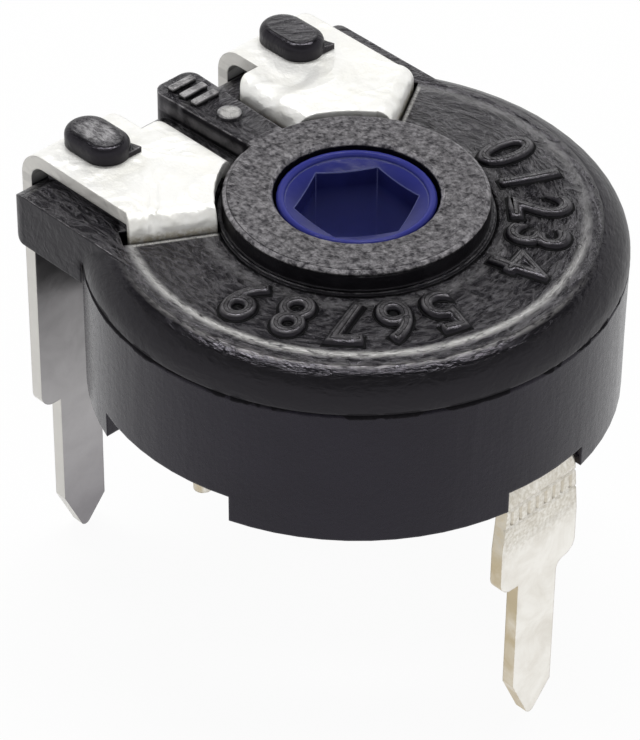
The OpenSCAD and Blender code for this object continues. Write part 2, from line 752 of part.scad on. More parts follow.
module end_contact_left() {
    end_contact(-1);
}

module end_contact_right() {
    end_contact(1);
}

cover();
base_cup();
rotor();
wiper_contact();
wiper_terminal();
end_terminal_left();
end_terminal_right();
track_substrate();
carbon_track();
end_contact_left();
end_contact_right();
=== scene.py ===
import bpy
import bmesh
import math
from mathutils import Matrix, Vector


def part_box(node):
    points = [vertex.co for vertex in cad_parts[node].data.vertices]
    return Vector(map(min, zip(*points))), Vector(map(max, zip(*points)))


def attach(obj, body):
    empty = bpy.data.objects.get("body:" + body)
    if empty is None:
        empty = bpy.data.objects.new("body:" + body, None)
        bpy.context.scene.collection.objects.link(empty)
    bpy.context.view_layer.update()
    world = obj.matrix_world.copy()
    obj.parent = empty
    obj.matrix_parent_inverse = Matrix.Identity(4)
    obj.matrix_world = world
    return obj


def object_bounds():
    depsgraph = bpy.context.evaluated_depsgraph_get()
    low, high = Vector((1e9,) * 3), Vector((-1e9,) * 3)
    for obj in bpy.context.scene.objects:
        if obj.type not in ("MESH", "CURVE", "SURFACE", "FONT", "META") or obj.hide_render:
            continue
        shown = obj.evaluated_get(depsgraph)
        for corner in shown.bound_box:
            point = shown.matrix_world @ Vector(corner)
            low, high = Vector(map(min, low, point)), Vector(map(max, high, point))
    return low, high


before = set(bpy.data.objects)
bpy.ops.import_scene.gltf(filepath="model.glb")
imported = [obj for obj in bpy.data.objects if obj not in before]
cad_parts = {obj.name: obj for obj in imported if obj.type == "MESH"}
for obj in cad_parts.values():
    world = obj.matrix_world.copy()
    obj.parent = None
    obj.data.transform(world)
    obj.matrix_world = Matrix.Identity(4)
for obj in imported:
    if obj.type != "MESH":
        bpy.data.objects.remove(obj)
cad_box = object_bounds()
MM = 0.001

# ---- Where it stands ---------------------------------------------------------
# The trimmer stands on the tips of its three pins on a pale bench, seen from in
# front of the wiper pin and from above, through a long lens. The table is lit
# by a soft room, white round about and dim overhead, and by one long lamp.

camera_data = bpy.data.cameras.new("bench_camera")
camera_data.sensor_width = 36
camera_data.lens = 191.118
camera_data.shift_x = -0.04049
camera_data.shift_y = 0.00888
camera_data.clip_start = 0.005
camera_data.clip_end = 2
camera = bpy.data.objects.new("bench_camera", camera_data)
bpy.context.scene.collection.objects.link(camera)
camera_right = Vector((0.70008, 0.71395, 0.01249))
camera_down = Vector((0.45186, -0.42941, -0.78194))
camera_ahead = Vector((-0.55291, 0.55306, -0.62323))
turn = Matrix((camera_right, -camera_down, -camera_ahead)).transposed().to_4x4()
camera.matrix_world = Matrix.Translation(Vector((41.278, -41.392, 48.427)) * MM) @ turn
bpy.context.scene.camera = camera

floor_z = cad_box[0].z
bench_half_m = 0.3
bench_mesh = bpy.data.meshes.new("bench")
shape = bmesh.new()
bmesh.ops.create_grid(shape, x_segments=8, y_segments=8, size=bench_half_m)
bmesh.ops.translate(shape, verts=shape.verts, vec=(0, 0, floor_z))
shape.to_mesh(bench_mesh)
shape.free()
bench = bpy.data.objects.new("bench", bench_mesh)
bpy.context.scene.collection.objects.link(bench)

# The bench is seen, and mirrored, as white. The small rest of its own matt paint
# holds the shadow.
background_share = 0.94
bench_paint = bpy.data.materials.new("bench_paint")
bench_paint.use_nodes = True
nodes = bench_paint.node_tree.nodes
links = bench_paint.node_tree.links
nodes.clear()
rays = nodes.new("ShaderNodeLightPath")
mirrored = nodes.new("ShaderNodeMath")
mirrored.operation = "MAXIMUM"
links.new(rays.outputs["Is Glossy Ray"], mirrored.inputs[0])
links.new(rays.outputs["Is Transmission Ray"], mirrored.inputs[1])
seen = nodes.new("ShaderNodeMath")
seen.operation = "MAXIMUM"
links.new(rays.outputs["Is Camera Ray"], seen.inputs[0])
links.new(mirrored.outputs[0], seen.inputs[1])
white_share = nodes.new("ShaderNodeMath")
white_share.operation = "MULTIPLY"
white_share.inputs[1].default_value = background_share
links.new(seen.outputs[0], white_share.inputs[0])
white = nodes.new("ShaderNodeEmission")
white.inputs["Color"].default_value = (1, 1, 1, 1)
matt = nodes.new("ShaderNodeBsdfDiffuse")
matt.inputs["Color"].default_value = (0.9, 0.9, 0.9, 1)
both = nodes.new("ShaderNodeMixShader")
links.new(white_share.outputs[0], both.inputs[0])
links.new(matt.outputs[0], both.inputs[1])
links.new(white.outputs[0], both.inputs[2])
paint_out = nodes.new("ShaderNodeOutputMaterial")
links.new(both.outputs[0], paint_out.inputs[0])
bench_mesh.materials.append(bench_paint)

sky = bpy.data.worlds.new("soft_sky")
bpy.context.scene.world = sky
sky.use_nodes = True
nodes = sky.node_tree.nodes
links = sky.node_tree.links
nodes.clear()
way = nodes.new("ShaderNodeTexCoord")
split = nodes.new("ShaderNodeSeparateXYZ")
links.new(way.outputs["Generated"], split.inputs[0])
dome = nodes.new("ShaderNodeMapRange")
dome.inputs["From Min"].default_value = 0.55
dome.inputs["From Max"].default_value = 0.7
dome.inputs["To Min"].default_value = 1
dome.inputs["To Max"].default_value = 0.2
links.new(split.outputs["Z"], dome.inputs["Value"])
air = nodes.new("ShaderNodeBackground")
air.inputs["Color"].default_value = (1, 1, 1, 1)
links.new(dome.outputs[0], air.inputs["Strength"])
sky_out = nodes.new("ShaderNodeOutputWorld")
links.new(air.outputs[0], sky_out.inputs[0])


def lamp(name, place, aim, along, length, width, power):
    """A long soft lamp at a place, facing its aim; lengths in millimetres."""
    light = bpy.data.lights.new(name, "AREA")
    light.shape = "RECTANGLE"
    light.size = length * MM
    light.size_y = width * MM
    light.energy = power
    lamp_object = bpy.data.objects.new(name, light)
    bpy.context.scene.collection.objects.link(lamp_object)
    back = (Vector(place) - Vector(aim)).normalized()
    side = (Vector(along) - Vector(along).dot(back) * back).normalized()
    turn = Matrix((side, back.cross(side), back)).transposed().to_4x4()
    lamp_object.matrix_world = Matrix.Translation(Vector(place) * MM) @ turn


lamp("tube_behind", place=(-23, 23, 110), aim=(0, 0, 5), along=(1, 1, 0), length=85, width=11, power=0.08)
bpy.context.scene.view_settings.view_transform = "Standard"

# ---- Base cup ------------------------------------------------------------------
# The lower half of the housing is a deep round cup of black glass-filled
# thermoplastic, injection moulded: its wall is satin smooth, with faint flow
# marks and a slightly worn edge where the tool parts.


def material(name):
    """An empty node material with its shader, and a position in millimetres."""
    made = bpy.data.materials.new(name)
    made.use_nodes = True
    tree = made.node_tree
    tree.nodes.clear()
    out = tree.nodes.new("ShaderNodeOutputMaterial")
    shader = tree.nodes.new("ShaderNodeBsdfPrincipled")
    tree.links.new(shader.outputs[0], out.inputs[0])
    place = tree.nodes.new("ShaderNodeTexCoord")
    in_mm = tree.nodes.new("ShaderNodeMapping")
    in_mm.inputs["Scale"].default_value = (1 / MM, 1 / MM, 1 / MM)
    tree.links.new(place.outputs["Object"], in_mm.inputs["Vector"])
    return made, tree, shader, in_mm.outputs[0]


def stretched(tree, place, scale, turn=(0, 0, 0)):
    """The position, stretched and turned, for streaks and flow marks."""
    node = tree.nodes.new("ShaderNodeMapping")
    node.inputs["Scale"].default_value = scale
    node.inputs["Rotation"].default_value = turn
    tree.links.new(place, node.inputs["Vector"])
    return node.outputs[0]


def noise(tree, place, scale, detail=4, rough=0.55, bend=0.0):
    """Noise with features of about 1 / scale millimetres."""
    node = tree.nodes.new("ShaderNodeTexNoise")
    node.inputs["Scale"].default_value = scale
    node.inputs["Detail"].default_value = detail
    node.inputs["Roughness"].default_value = rough
    node.inputs["Distortion"].default_value = bend
    tree.links.new(place, node.inputs["Vector"])
    return node.outputs["Fac"]


def ramp(tree, value, low, high, to_low=0.0, to_high=1.0):
    """A value from one range brought to another, and held inside it."""
    node = tree.nodes.new("ShaderNodeMapRange")
    node.inputs["From Min"].default_value = low
    node.inputs["From Max"].default_value = high
    node.inputs["To Min"].default_value = to_low
    node.inputs["To Max"].default_value = to_high
    tree.links.new(value, node.inputs["Value"])
    return node.outputs[0]


def maths(tree, kind, a, b):
    """Two values, or a value and a number, put together."""
    node = tree.nodes.new("ShaderNodeMath")
    node.operation = kind
    for slot, value in enumerate((a, b)):
        if isinstance(value, (int, float)):
            node.inputs[slot].default_value = value
        else:
            tree.links.new(value, node.inputs[slot])
    return node.outputs[0]


def product(tree, *values):
    """Several values, or values and numbers, multiplied."""
    whole = values[0]
    for value in values[1:]:
        whole = maths(tree, "MULTIPLY", whole, value)
    return whole


def total(tree, *values):
    """Several values, or values and numbers, added."""
    whole = values[0]
    for value in values[1:]:
        whole = maths(tree, "ADD", whole, value)
    return whole


def size_of(tree, value):
    """A value without its sign."""
    return maths(tree, "ABSOLUTE", value, 0)


def distance(tree, a, b):
    """How far a point is from an axis, from its two distances along the others."""
    return maths(tree, "SQRT", total(tree, product(tree, a, a), product(tree, b, b)), 0)


def split_up(tree, place):
    """The three parts of a position or direction."""
    node = tree.nodes.new("ShaderNodeSeparateXYZ")
    tree.links.new(place, node.inputs[0])
    return node.outputs


def tint(tree, share, colour_a, colour_b):
    """Two colours mixed by a share; each is a colour or another tint."""
    node = tree.nodes.new("ShaderNodeMix")
    node.data_type = "RGBA"
    tree.links.new(share, node.inputs["Factor"])
    for key, colour in ((6, colour_a), (7, colour_b)):
        if isinstance(colour, tuple):
            node.inputs[key].default_value = (*colour, 1)
        else:
            tree.links.new(colour, node.inputs[key])
    return node.outputs[2]


def soft_edges(tree, radius):
    """The normal round a small edge radius, and how near an edge a point is."""
    round_off = tree.nodes.new("ShaderNodeBevel")
    round_off.samples = 6
    round_off.inputs["Radius"].default_value = radius * MM
    flat = tree.nodes.new("ShaderNodeNewGeometry")
    dot = tree.nodes.new("ShaderNodeVectorMath")
    dot.operation = "DOT_PRODUCT"
    tree.links.new(round_off.outputs[0], dot.inputs[0])
    tree.links.new(flat.outputs["Normal"], dot.inputs[1])
    return round_off.outputs[0], ramp(tree, dot.outputs["Value"], 0.985, 0.86)


def bump(tree, normal, height, depth, strength=1.0):
    """A normal disturbed by a height, whose full range is a depth in millimetres."""
    node = tree.nodes.new("ShaderNodeBump")
    node.inputs["Distance"].default_value = depth * MM
    node.inputs["Strength"].default_value = strength
    tree.links.new(height, node.inputs["Height"])
    tree.links.new(normal, node.inputs["Normal"])
    return node.outputs[0]


def dress(node_name, made):
    """Gives a CAD node its finish."""
    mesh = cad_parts[node_name].data
    mesh.materials.clear()
    mesh.materials.append(made)


def bulge(tree, value, centre, half):
    """One at a centre, and smoothly none at a half width from it."""
    off = size_of(tree, maths(tree, "SUBTRACT", value, centre))
    node = tree.nodes.new("ShaderNodeMapRange")
    node.interpolation_type = "SMOOTHSTEP"
    node.inputs["From Max"].default_value = half
    node.inputs["To Min"].default_value = 1
    node.inputs["To Max"].default_value = 0
    tree.links.new(off, node.inputs["Value"])
    return node.outputs[0]


def blend(tree, share, a, b):
    """Two values mixed by a share."""
    return total(tree, a, product(tree, share, maths(tree, "SUBTRACT", b, a)))


def parting_line(tree, place, above):
    """Where the shadow of the joint between cup and cover shows: deep towards the
    flat back, broken into dashes in front. The joint is at a height in mm."""
    across, deep, high = split_up(tree, place)
    round_by = maths(tree, "ARCTAN2", deep, across)
    wander = noise(tree, stretched(tree, place, (1, 1, 0.2)), 1.4, 3)
    dashed = ramp(tree, wander, 0.48, 0.58, 0, 0.07)
    open_joint = ramp(tree, wander, 0.3, 0.7, 0.06, 0.13)
    reach = blend(tree, ramp(tree, size_of(tree, round_by), 1.1, 2.2), dashed, open_joint)
    off = size_of(tree, maths(tree, "SUBTRACT", high, above))
    on_line = ramp(tree, maths(tree, "SUBTRACT", off, reach), 0.015, -0.01)
    on_round_wall = bulge(tree, distance(tree, across, deep), wall_radius, 0.2)
    return product(tree, on_line, on_round_wall)


# Heights and radii in millimetres, down from the end terminals' plates.
sheet = 0.27
pad_height = 0.18
cover_rise = 0.74
wall_radius = 5.04
plate_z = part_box("end_terminal_left")[1].z / MM
flat_z = plate_z - sheet - pad_height
parting_z = flat_z - cover_rise
joint_black = (0.0012, 0.0011, 0.0015)
violet_shine = (0.93, 0.88, 1, 1)

cup_plastic, tree, shader, place = material("satin_black_plastic")
edge_normal, edge = soft_edges(tree, 0.05)
cloud = noise(tree, place, 0.5, 3)
grain = noise(tree, place, 9, 5)
flow = noise(tree, stretched(tree, place, (1, 1, 0.12)), 2.2, 4, 0.6)
body = tint(tree, ramp(tree, cloud, 0.35, 0.65), (0.005, 0.0042, 0.008), (0.0078, 0.0066, 0.0118))
body = tint(tree, ramp(tree, flow, 0.6, 0.8, 0, 0.35), body, (0.026, 0.024, 0.03))
worn = product(tree, edge, ramp(tree, noise(tree, place, 5, 3), 0.42, 0.66), 0.6)
body = tint(tree, worn, body, (0.075, 0.07, 0.08))
joint = parting_line(tree, place, parting_z)
body = tint(tree, joint, body, joint_black)
tree.links.new(body, shader.inputs["Base Color"])
satin = ramp(tree, grain, 0.3, 0.7, 0.22, 0.3)
dull = ramp(tree, grain, 0.3, 0.7, 0.8, 0.95)
tree.links.new(blend(tree, joint, satin, dull), shader.inputs["Roughness"])
shader.inputs["Specular IOR Level"].default_value = 0.28
shader.inputs["Specular Tint"].default_value = violet_shine
rough_skin = total(tree, product(tree, grain, 0.5), flow)
tree.links.new(bump(tree, edge_normal, rough_skin, 0.012), shader.inputs["Normal"])
dress("base_cup", cup_plastic)

# ---- Track carrier -------------------------------------------------------------
# A horseshoe of brown phenolic paper laminate carries the screen-printed carbon
# track; silver pads at both ends are fired through plugs to the terminals.

laminate, tree, shader, place = material("phenolic_laminate")
fibre = noise(tree, stretched(tree, place, (1, 1, 9)), 3, 5, 0.6)
body = tint(tree, ramp(tree, fibre, 0.35, 0.65), (0.21, 0.105, 0.04), (0.33, 0.18, 0.075))
tree.links.new(body, shader.inputs["Base Color"])
tree.links.new(ramp(tree, fibre, 0.3, 0.7, 0.4, 0.6), shader.inputs["Roughness"])
normal = soft_edges(tree, 0.03)[0]
tree.links.new(bump(tree, normal, fibre, 0.01), shader.inputs["Normal"])
dress("track_substrate", laminate)

carbon, tree, shader, place = material("printed_carbon")
print_grain = noise(tree, place, 14, 5)
body = tint(tree, ramp(tree, print_grain, 0.3, 0.7), (0.008, 0.008, 0.009), (0.022, 0.021, 0.021))
tree.links.new(body, shader.inputs["Base Color"])
tree.links.new(ramp(tree, print_grain, 0.3, 0.7, 0.5, 0.72), shader.inputs["Roughness"])
normal = soft_edges(tree, 0.01)[0]
tree.links.new(bump(tree, normal, print_grain, 0.006), shader.inputs["Normal"])
dress("carbon_track", carbon)

silver, tree, shader, place = material("fired_silver")
shader.inputs["Metallic"].default_value = 1
print_grain = noise(tree, place, 11, 5)
body = tint(tree, ramp(tree, print_grain, 0.3, 0.7), (0.72, 0.71, 0.68), (0.85, 0.84, 0.82))
tree.links.new(body, shader.inputs["Base Color"])
tree.links.new(ramp(tree, print_grain, 0.3, 0.7, 0.32, 0.55), shader.inputs["Roughness"])
normal = soft_edges(tree, 0.01)[0]
tree.links.new(bump(tree, normal, print_grain, 0.006), shader.inputs["Normal"])
dress("end_contact_left", silver)
dress("end_contact_right", silver)

# ---- Wiper terminal --------------------------------------------------------------
# The middle terminal is blanked from thin tinned brass. Its leg is folded down
# through the notch in the cup's skirt, coined under the fold, and its cut edges
# still show the brass.


def facing(tree):
    """The surface's own direction, in three parts."""
    place = tree.nodes.new("ShaderNodeTexCoord")
    return split_up(tree, place.outputs["Normal"])


def creases(tree, place, scale, sharp):
    """Thin raised lines where a slow noise turns over, as in a handled foil."""
    fold = size_of(tree, maths(tree, "SUBTRACT", noise(tree, place, scale, 2, 0.5, 1.5), 0.5))
    return maths(tree, "POWER", ramp(tree, fold, 0, 0.25, 1, 0), sharp)


def tinned(name, crumple, dents, pressed_above):
    """A tinned sheet's material with its skin, before its colour is chosen. It is
    dented above a height in millimetres, and nearly plain below it."""
    made, tree, shader, place = material(name)
    shader.inputs["Metallic"].default_value = 1
    normal, edge = soft_edges(tree, 0.05)
    dull = noise(tree, place, 1.4, 5, 0.62, 0.6)
    pits = noise(tree, place, 12, 4, 0.6)
    dented = noise(tree, place, dents, 2, 0.45, 0.8)
    folded = creases(tree, place, dents * 0.7, 1.5)
    skin = total(tree, dented, product(tree, pits, 0.06), product(tree, folded, 0.15))
    high = split_up(tree, place)[2]
    skin = product(tree, skin, ramp(tree, high, pressed_above - 0.2, pressed_above, 0.12, 1))
    tree.links.new(bump(tree, normal, skin, crumple), shader.inputs["Normal"])
    return made, tree, shader, place, edge, dull, pits


pin_tin, tree, shader, place, edge, dull, pits = tinned("tinned_brass_pin", 0.05, 0.9, 1.2)
along_y = size_of(tree, facing(tree)[1])
body = tint(tree, ramp(tree, dull, 0.42, 0.68), (0.88, 0.86, 0.81), (0.78, 0.75, 0.69))
cut = product(tree, ramp(tree, along_y, 0.6, 0.8), ramp(tree, dull, 0.3, 0.6, 0.55, 1))
body = tint(tree, cut, body, (0.52, 0.44, 0.3))
rubbed = product(tree, edge, ramp(tree, pits, 0.45, 0.62, 0, 0.5))
body = tint(tree, rubbed, body, (0.5, 0.42, 0.28))
high = split_up(tree, place)[2]
worked = product(tree, ramp(tree, high, 0.7, 1.2), ramp(tree, pits, 0.36, 0.62, 0.15, 0.85))
body = tint(tree, worked, body, (0.56, 0.52, 0.44))
tree.links.new(body, shader.inputs["Base Color"])
tree.links.new(ramp(tree, dull, 0.35, 0.7, 0.3, 0.46), shader.inputs["Roughness"])
dress("wiper_terminal", pin_tin)

# ---- Wiper contact ---------------------------------------------------------------
# A thin spring of phosphor bronze under the rotor's flange: a ring with two
# fingers that press on the collector, and a forked arm that reaches up to the track.

bronze, tree, shader, place = material("spring_bronze")
shader.inputs["Metallic"].default_value = 1
normal = soft_edges(tree, 0.02)[0]
tarnish = noise(tree, place, 3, 5)
body = tint(tree, ramp(tree, tarnish, 0.35, 0.7), (0.78, 0.55, 0.26), (0.6, 0.38, 0.17))
tree.links.new(body, shader.inputs["Base Color"])
tree.links.new(ramp(tree, tarnish, 0.3, 0.7, 0.22, 0.38), shader.inputs["Roughness"])
tree.links.new(bump(tree, normal, tarnish, 0.008), shader.inputs["Normal"])
dress("wiper_contact", bronze)

# ---- Rotor -----------------------------------------------------------------------
# The rotor is moulded in navy blue polyamide, glossy inside its funnel, with a
# hexagonal hole right through it for a shaft or a driver.

rotor_plastic, tree, shader, place = material("glossy_navy_plastic")
edge_normal, edge = soft_edges(tree, 0.05)
cloud = noise(tree, place, 1.1, 3)
grain = noise(tree, place, 8, 4)
high = split_up(tree, place)[2]
rim_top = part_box("rotor")[1].z / MM
foot_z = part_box("rotor")[0].z / MM
body = tint(tree, ramp(tree, cloud, 0.35, 0.65), (0.011, 0.013, 0.075), (0.016, 0.019, 0.11))
# The bore is tinted a lighter blue below the rim: painted light, where the deep hole would fall dark.
below_rim = ramp(tree, high, rim_top - 0.5, rim_top - 1.8)
bore_painted_light = product(tree, below_rim, ramp(tree, high, foot_z + 0.4, foot_z + 1.4))
body = tint(tree, bore_painted_light, body, (0.16, 0.18, 0.52))
on_rim = ramp(tree, high, rim_top - 0.2, rim_top - 0.05)
body = tint(tree, on_rim, body, (0.03, 0.035, 0.21))
worn = product(tree, edge, ramp(tree, high, rim_top - 1.3, rim_top - 0.7, 0.15, 0.9))
body = tint(tree, worn, body, (0.17, 0.19, 0.42))
tree.links.new(body, shader.inputs["Base Color"])
tree.links.new(ramp(tree, grain, 0.3, 0.7, 0.12, 0.2), shader.inputs["Roughness"])
shader.inputs["Specular IOR Level"].default_value = 0.1
skin = total(tree, cloud, product(tree, grain, 0.15))
tree.links.new(bump(tree, edge_normal, skin, 0.02), shader.inputs["Normal"])
dress("rotor", rotor_plastic)

# ---- Cover -----------------------------------------------------------------------
# The lid is moulded in the same black plastic with wings behind, a collar round
# the rotor and a bar between the terminals. Its flat top is finely streaked by the
# tool, with painted glints, its collar is grained, with painted glints, and its rims
# are rubbed light, with painted highlights. Its sides and corners carry painted shade.



def blended(tree, value, colour_a, colour_b):
    """Two colours mixed by a noise, over its middle range."""
    return tint(tree, ramp(tree, value, 0.4, 0.6), colour_a, colour_b)


# Heights, radii and places on the cover, in millimetres. The slots lie across the
# direction slot_x, slot_y.
collar_z = flat_z + 0.47
head_z = plate_z + 0.27
collar_foot = 2.56
collar_lip = 2.84
bead_radius = 4.25
lip_radius = 4.36
turn_radius = 4.56
pip_x = -3.42
head_x, head_y = -4.335, -2.5
slot_x, slot_y, slot_off = 0.862, 0.507, 0.1

cover_plastic, tree, shader, place = material("streaked_black_plastic")
edge_normal, edge = soft_edges(tree, 0.06)
across, deep, high = split_up(tree, place)
beside = size_of(tree, deep)
out = distance(tree, across, deep)
round_by = maths(tree, "ARCTAN2", deep, across)
along_z = size_of(tree, facing(tree)[2])

on_collar = ramp(tree, high, collar_z - 0.1, collar_z - 0.06)
on_collar = product(tree, on_collar, ramp(tree, out, collar_foot, collar_foot - 0.04))
on_wall = ramp(tree, high, collar_z - 0.05, collar_z - 0.1)
on_wall = product(tree, on_wall, ramp(tree, out, collar_foot + 0.08, collar_foot + 0.02))
on_flat = bulge(tree, high, flat_z, 0.04)
on_flat = product(tree, on_flat, ramp(tree, out, collar_foot + 0.04, collar_foot + 0.1))
on_heads = ramp(tree, high, head_z, head_z + 0.06)
below_flat = ramp(tree, high, flat_z - 0.08, flat_z - 0.2)
on_side = maths(tree, "MAXIMUM", below_flat, ramp(tree, along_z, 0.999, 0.98))
on_bead = bulge(tree, out, bead_radius, 0.14)
near_lip = bulge(tree, out, lip_radius, 0.26)

# The tool's marks run straight beside the left plate, and round the collar elsewhere.
ring = tree.nodes.new("ShaderNodeCombineXYZ")
tree.links.new(product(tree, round_by, 3.5), ring.inputs[0])
tree.links.new(product(tree, out, 2.4), ring.inputs[1])
tree.links.new(high, ring.inputs[2])
ring_way = ring.outputs[0]
on_ring = ramp(tree, round_by, -2.2, -1.5)
straight = noise(tree, stretched(tree, place, (1, 2.2, 1), (0, 0, -0.1)), 3.2, 4, 0.62, 0.8)
turned = noise(tree, ring_way, 3.0, 4, 0.62, 0.8)
streaks = blend(tree, on_ring, straight, turned)
straight = noise(tree, stretched(tree, place, (1, 2.6, 1), (0, 0, -0.16)), 5.4, 3, 0.6, 0.5)
turned = noise(tree, ring_way, 5, 3, 0.6, 0.5)
dashes = blend(tree, on_ring, straight, turned)
straight = creases(tree, stretched(tree, place, (1, 2.4, 1), (0, 0, -0.3)), 1.5, 2)
turned = creases(tree, ring_way, 1.4, 2)
wrinkles = blend(tree, on_ring, straight, turned)
coarse = product(tree, noise(tree, place, 5, 3, 0.6), 0.5)
grain = total(tree, coarse, product(tree, noise(tree, place, 11, 2, 0.6), 0.5))
lumps = noise(tree, place, 3.2, 4, 0.6, 0.4)

body = tint(tree, ramp(tree, streaks, 0.38, 0.62), (0.003, 0.0026, 0.004), (0.026, 0.0248, 0.028))
# The lighter dashes and wrinkles are partly the tool's marks, partly painted glints.
body = tint(tree, ramp(tree, dashes, 0.55, 0.68, 0, 0.45), body, (0.2, 0.195, 0.205))
body = tint(tree, ramp(tree, wrinkles, 0.35, 0.9, 0, 0.5), body, (0.15, 0.145, 0.152))
# A pale ring round the collar's foot is a painted highlight.
lip_highlight = product(tree, on_flat, bulge(tree, out, collar_lip, 0.2))
lip_highlight = product(tree, lip_highlight, ramp(tree, streaks, 0.36, 0.58, 0.1, 0.5))
body = tint(tree, lip_highlight, body, (0.24, 0.235, 0.24))

# The outer rim's bead and the start of its turn are painted pale: partly rubbing,
# partly a painted highlight. It is strongest on the side turned to the camera set up
# above, where it strengthens the lamp's highlight, and faint behind.
to_front = maths(tree, "COSINE", total(tree, round_by, 0.25 * math.pi), 0)
bead_wear_and_highlight = product(tree, on_bead, ramp(tree, dashes, 0.3, 0.5))
bead_wear_and_highlight = product(tree, bead_wear_and_highlight, ramp(tree, to_front, -0.1, 0.85, 0.1, 1), 0.9)
body = tint(tree, bead_wear_and_highlight, body, (0.72, 0.71, 0.69))
turn_wear_and_highlight = product(tree, bulge(tree, out, turn_radius, 0.1), ramp(tree, dashes, 0.36, 0.56, 0, 0.7))
turn_wear_and_highlight = product(tree, turn_wear_and_highlight, ramp(tree, to_front, 0.3, 0.9), ramp(tree, along_z, 0.8, 0.9))
# The lid's sides are tinted darker than the cup's plastic: painted shade.
body = tint(tree, on_side, body, (0.0022, 0.0018, 0.0032))
body = tint(tree, turn_wear_and_highlight, body, (0.34, 0.33, 0.325))

# The collar's pale speckles are partly grain, partly painted glints.
speckled = tint(tree, ramp(tree, grain, 0.38, 0.62), (0.02, 0.0185, 0.021), (0.3, 0.29, 0.3))
body = tint(tree, on_collar, body, speckled)
# The collar's wall is tinted near black: painted shade.
body = tint(tree, on_wall, body, (0.0022, 0.002, 0.0028))
mark_top = ramp(tree, high, flat_z + 0.07, flat_z + 0.1)
mark_top = product(tree, mark_top, ramp(tree, out, collar_foot + 0.06, collar_foot + 0.12))
mark_top = product(tree, mark_top, ramp(tree, high, plate_z - 0.1, plate_z - 0.2))
mark_top = product(tree, mark_top, ramp(tree, lumps, 0.35, 0.6, 0.15, 0.9))
body = tint(tree, mark_top, body, (0.12, 0.116, 0.12))

on_bar = product(tree, ramp(tree, high, collar_z, collar_z + 0.03), ramp(tree, beside, 0.6, 0.5))
bar_mark = product(tree, on_bar, ramp(tree, lumps, 0.35, 0.55, 0.2, 1))
body = tint(tree, bar_mark, body, (0.42, 0.41, 0.41))
from_pip = distance(tree, maths(tree, "SUBTRACT", across, pip_x), deep)
on_pip = product(tree, on_bar, ramp(tree, from_pip, 0.21, 0.16))
body = tint(tree, on_pip, body, (0.6, 0.59, 0.57))
along_head = product(tree, maths(tree, "SUBTRACT", across, head_x), 0.6)
from_head = distance(tree, along_head, maths(tree, "SUBTRACT", deep, head_y))
from_head = total(tree, from_head, product(tree, lumps, 0.4))
scuffed = product(tree, on_heads, ramp(tree, from_head, 0.5, 0.4))
body = tint(tree, scuffed, body, blended(tree, dashes, (0.14, 0.135, 0.14), (0.44, 0.43, 0.44)))

# A pale line along the slots' front rim is partly wear, partly a painted highlight.
slot_way = total(tree, product(tree, across, slot_x), product(tree, beside, slot_y))
slot_rim = product(tree, bulge(tree, slot_way, slot_off, 0.06), on_flat)
slot_rim = product(tree, slot_rim, ramp(tree, out, bead_radius + 0.05, bead_radius - 0.05))
slot_rim = product(tree, slot_rim, ramp(tree, lumps, 0.3, 0.5, 0.4, 1))
body = tint(tree, slot_rim, body, (0.7, 0.69, 0.66))
rubbed = product(tree, edge, ramp(tree, noise(tree, place, 5, 4, 0.6), 0.42, 0.6))
rubbed = product(tree, rubbed, ramp(tree, high, flat_z - 0.6, flat_z - 0.4))
body = tint(tree, rubbed, body, (0.38, 0.37, 0.38))

# Corners, the collar's foot and the feet of the raised marks are darkened: painted shade.
corner = tree.nodes.new("ShaderNodeAmbientOcclusion")
corner.samples = 6
corner.inputs["Distance"].default_value = 0.16 * MM
foot = product(tree, ramp(tree, high, flat_z + 0.055, flat_z + 0.03), ramp(tree, along_z, 0.95, 0.85))
painted_corner_shade = maths(tree, "MAXIMUM", foot, ramp(tree, corner.outputs["AO"], 0.95, 0.7))
body = tint(tree, painted_corner_shade, body, (0.0015, 0.0014, 0.0018))
joint = parting_line(tree, place, parting_z)
body = tint(tree, joint, body, joint_black)
tree.links.new(body, shader.inputs["Base Color"])

on_top = ramp(tree, streaks, 0.38, 0.66, 0.1, 0.2)
shine = blend(tree, near_lip, on_top, ramp(tree, dashes, 0.38, 0.66, 0.1, 0.16))
shine = blend(tree, ramp(tree, along_z, 0.93, 0.8), shine, ramp(tree, grain, 0.3, 0.7, 0.34, 0.42))
shine = blend(tree, on_collar, shine, ramp(tree, grain, 0.3, 0.7, 0.5, 0.38))
shine = blend(tree, joint, shine, ramp(tree, grain, 0.3, 0.7, 0.8, 0.95))
tree.links.new(shine, shader.inputs["Roughness"])
shader.inputs["Specular IOR Level"].default_value = 0.34
shader.inputs["Specular Tint"].default_value = violet_shine

skin = total(tree, streaks, product(tree, dashes, 0.6), product(tree, wrinkles, 0.22))
skin = product(tree, skin, ramp(tree, maths(tree, "MAXIMUM", on_side, on_wall), 0, 1, 1, 0.08))
skin = product(tree, skin, ramp(tree, near_lip, 0, 1, 1, 0.25))
skin = total(tree, skin, product(tree, grain, ramp(tree, on_collar, 0, 1, 0.02, 0.55)))
skin = total(tree, skin, product(tree, on_bead, ramp(tree, to_front, -0.5, 0.6, 0.06, 0.2)))
tree.links.new(bump(tree, edge_normal, skin, 0.2), shader.inputs["Normal"])
dress("cover", cover_plastic)

# ---- Raised dial numbers ---------------------------------------------------------
# Ten numerals stand a little proud of the cover's flat top, as a dial round the
# collar, cut into the same mould and just as rubbed.


